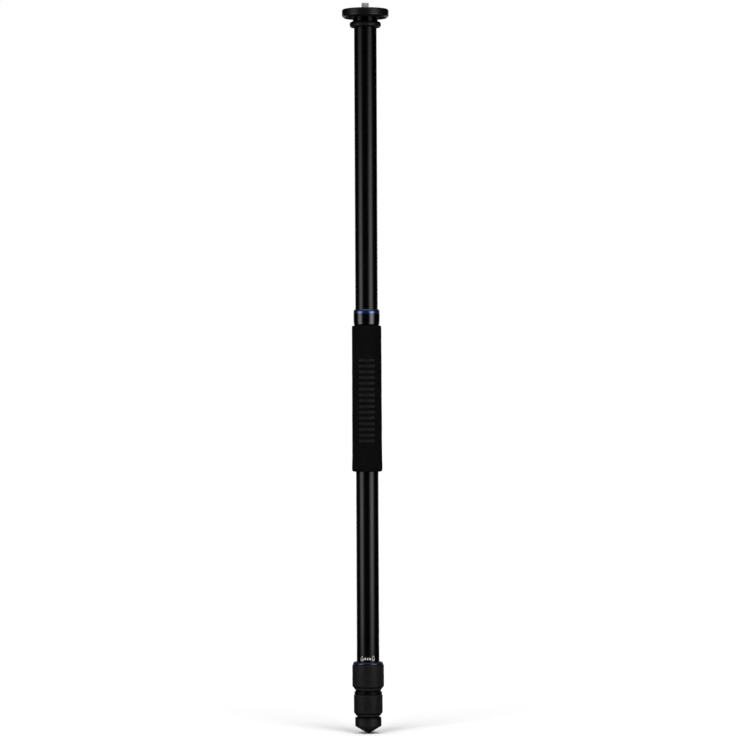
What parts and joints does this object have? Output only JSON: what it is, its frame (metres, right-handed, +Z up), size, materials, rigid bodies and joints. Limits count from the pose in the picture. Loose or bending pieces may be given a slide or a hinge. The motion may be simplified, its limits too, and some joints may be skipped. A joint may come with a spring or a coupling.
{
  "type": "camera monopod",
  "caption": "Telescopic one-legged camera support: centre column with disc and camera screw on a foam-gripped leg with twist locks and a pointed rubber foot.",
  "frame": {"origin": "tip of the rubber foot, on the ground, with every section pushed in", "axes": "+Z up along the leg and column, towards the camera screw; the part is round, so +X and +Y are free and -Y is the side towards the picture's camera"},
  "size_m": [0.0582, 0.0582, 0.9098],
  "materials": {
    "screw_steel": "satin",
    "black_steel": "satin",
    "plate_black": "satin",
    "tube_black": "gloss",
    "collar_black": "gloss",
    "ring_blue": "gloss",
    "foam_black": "matte",
    "rubber_black": "matte",
    "seal_rubber": "matte",
    "nylon_pale": "satin",
    "nylon_black": "satin"
  },
  "bodies": {
    "foot": {"rubber_foot": "rubber_black", "foot_stud": "screw_steel"},
    "foot_spacer": {"foot_washer": "nylon_black"},
    "leg_lower": {"leg_tube_3": "tube_black", "tube_3_shims": "nylon_pale", "tube_3_cap": "nylon_black", "foot_plug": "collar_black"},
    "leg_middle": {"leg_tube_2": "tube_black", "tube_2_shims": "nylon_pale", "tube_2_cap": "nylon_black", "leg_sleeve_2": "collar_black", "lock_2_ring": "ring_blue"},
    "lock_2_wedge": {"lock_2_collet": "nylon_pale"},
    "lock_2": {"lock_2_nut": "collar_black", "lock_2_grip": "rubber_black", "lock_2_seal": "seal_rubber"},
    "leg_upper": {"leg_collar": "collar_black", "collar_ring": "ring_blue", "foam_grip": "foam_black", "leg_tube_1": "tube_black", "leg_sleeve_1": "collar_black", "lock_1_ring": "ring_blue"},
    "lock_1_wedge": {"lock_1_collet": "nylon_pale"},
    "lock_1": {"lock_1_nut": "collar_black", "lock_1_grip": "rubber_black", "lock_1_seal": "seal_rubber"},
    "column_spacer": {"column_washer": "nylon_pale"},
    "column": {"camera_screw": "screw_steel", "top_plate": "plate_black", "plate_pad": "rubber_black", "grub_screws": "black_steel", "column_head": "plate_black", "bumper_ring": "rubber_black", "column_tube": "tube_black", "column_end": "collar_black"}
  },
  "joints": [
    {"name": "foot_screw_travel", "type": "slide", "parent": "foot", "child": "foot_spacer", "axis": [0, 0, 1], "range_m": [0, 0.01]},
    {"name": "foot_unscrew", "type": "hinge", "parent": "foot_spacer", "child": "leg_lower", "pos_m": [0, 0, 0.02], "axis": [0, 0, 1], "range_deg": [0, 2880.5]},
    {"name": "section_3_slide", "type": "slide", "parent": "leg_lower", "child": "leg_middle", "axis": [0, 0, 1], "range_m": [0, 0.389]},
    {"name": "lock_2_travel", "type": "slide", "parent": "leg_middle", "child": "lock_2_wedge", "axis": [0, 0, -1], "range_m": [0, 0.0005]},
    {"name": "lock_2_twist", "type": "hinge", "parent": "lock_2_wedge", "child": "lock_2", "pos_m": [0, 0, 0.035], "axis": [0, 0, -1], "range_deg": [0, 120.1]},
    {"name": "section_2_slide", "type": "slide", "parent": "leg_middle", "child": "leg_upper", "axis": [0, 0, 1], "range_m": [0, 0.373]},
    {"name": "lock_1_travel", "type": "slide", "parent": "leg_upper", "child": "lock_1_wedge", "axis": [0, 0, -1], "range_m": [0, 0.0005]},
    {"name": "lock_1_twist", "type": "hinge", "parent": "lock_1_wedge", "child": "lock_1", "pos_m": [0, 0, 0.07], "axis": [0, 0, -1], "range_deg": [0, 120.1]},
    {"name": "column_screw_travel", "type": "slide", "parent": "leg_upper", "child": "column_spacer", "axis": [0, 0, 1], "range_m": [0, 0.0119]},
    {"name": "column_unscrew", "type": "hinge", "parent": "column_spacer", "child": "column", "pos_m": [0, 0, 0.5235], "axis": [0, 0, 1], "range_deg": [0, 2700]}
  ],
  "couplings": [
    {"joint": "column_unscrew", "follows": "column_screw_travel", "rad_per_m": 3957.9},
    {"joint": "lock_1_twist", "follows": "lock_1_travel", "rad_per_m": 4188.8},
    {"joint": "lock_2_twist", "follows": "lock_2_travel", "rad_per_m": 4188.8},
    {"joint": "foot_unscrew", "follows": "foot_screw_travel", "rad_per_m": 5026.5}
  ]
}
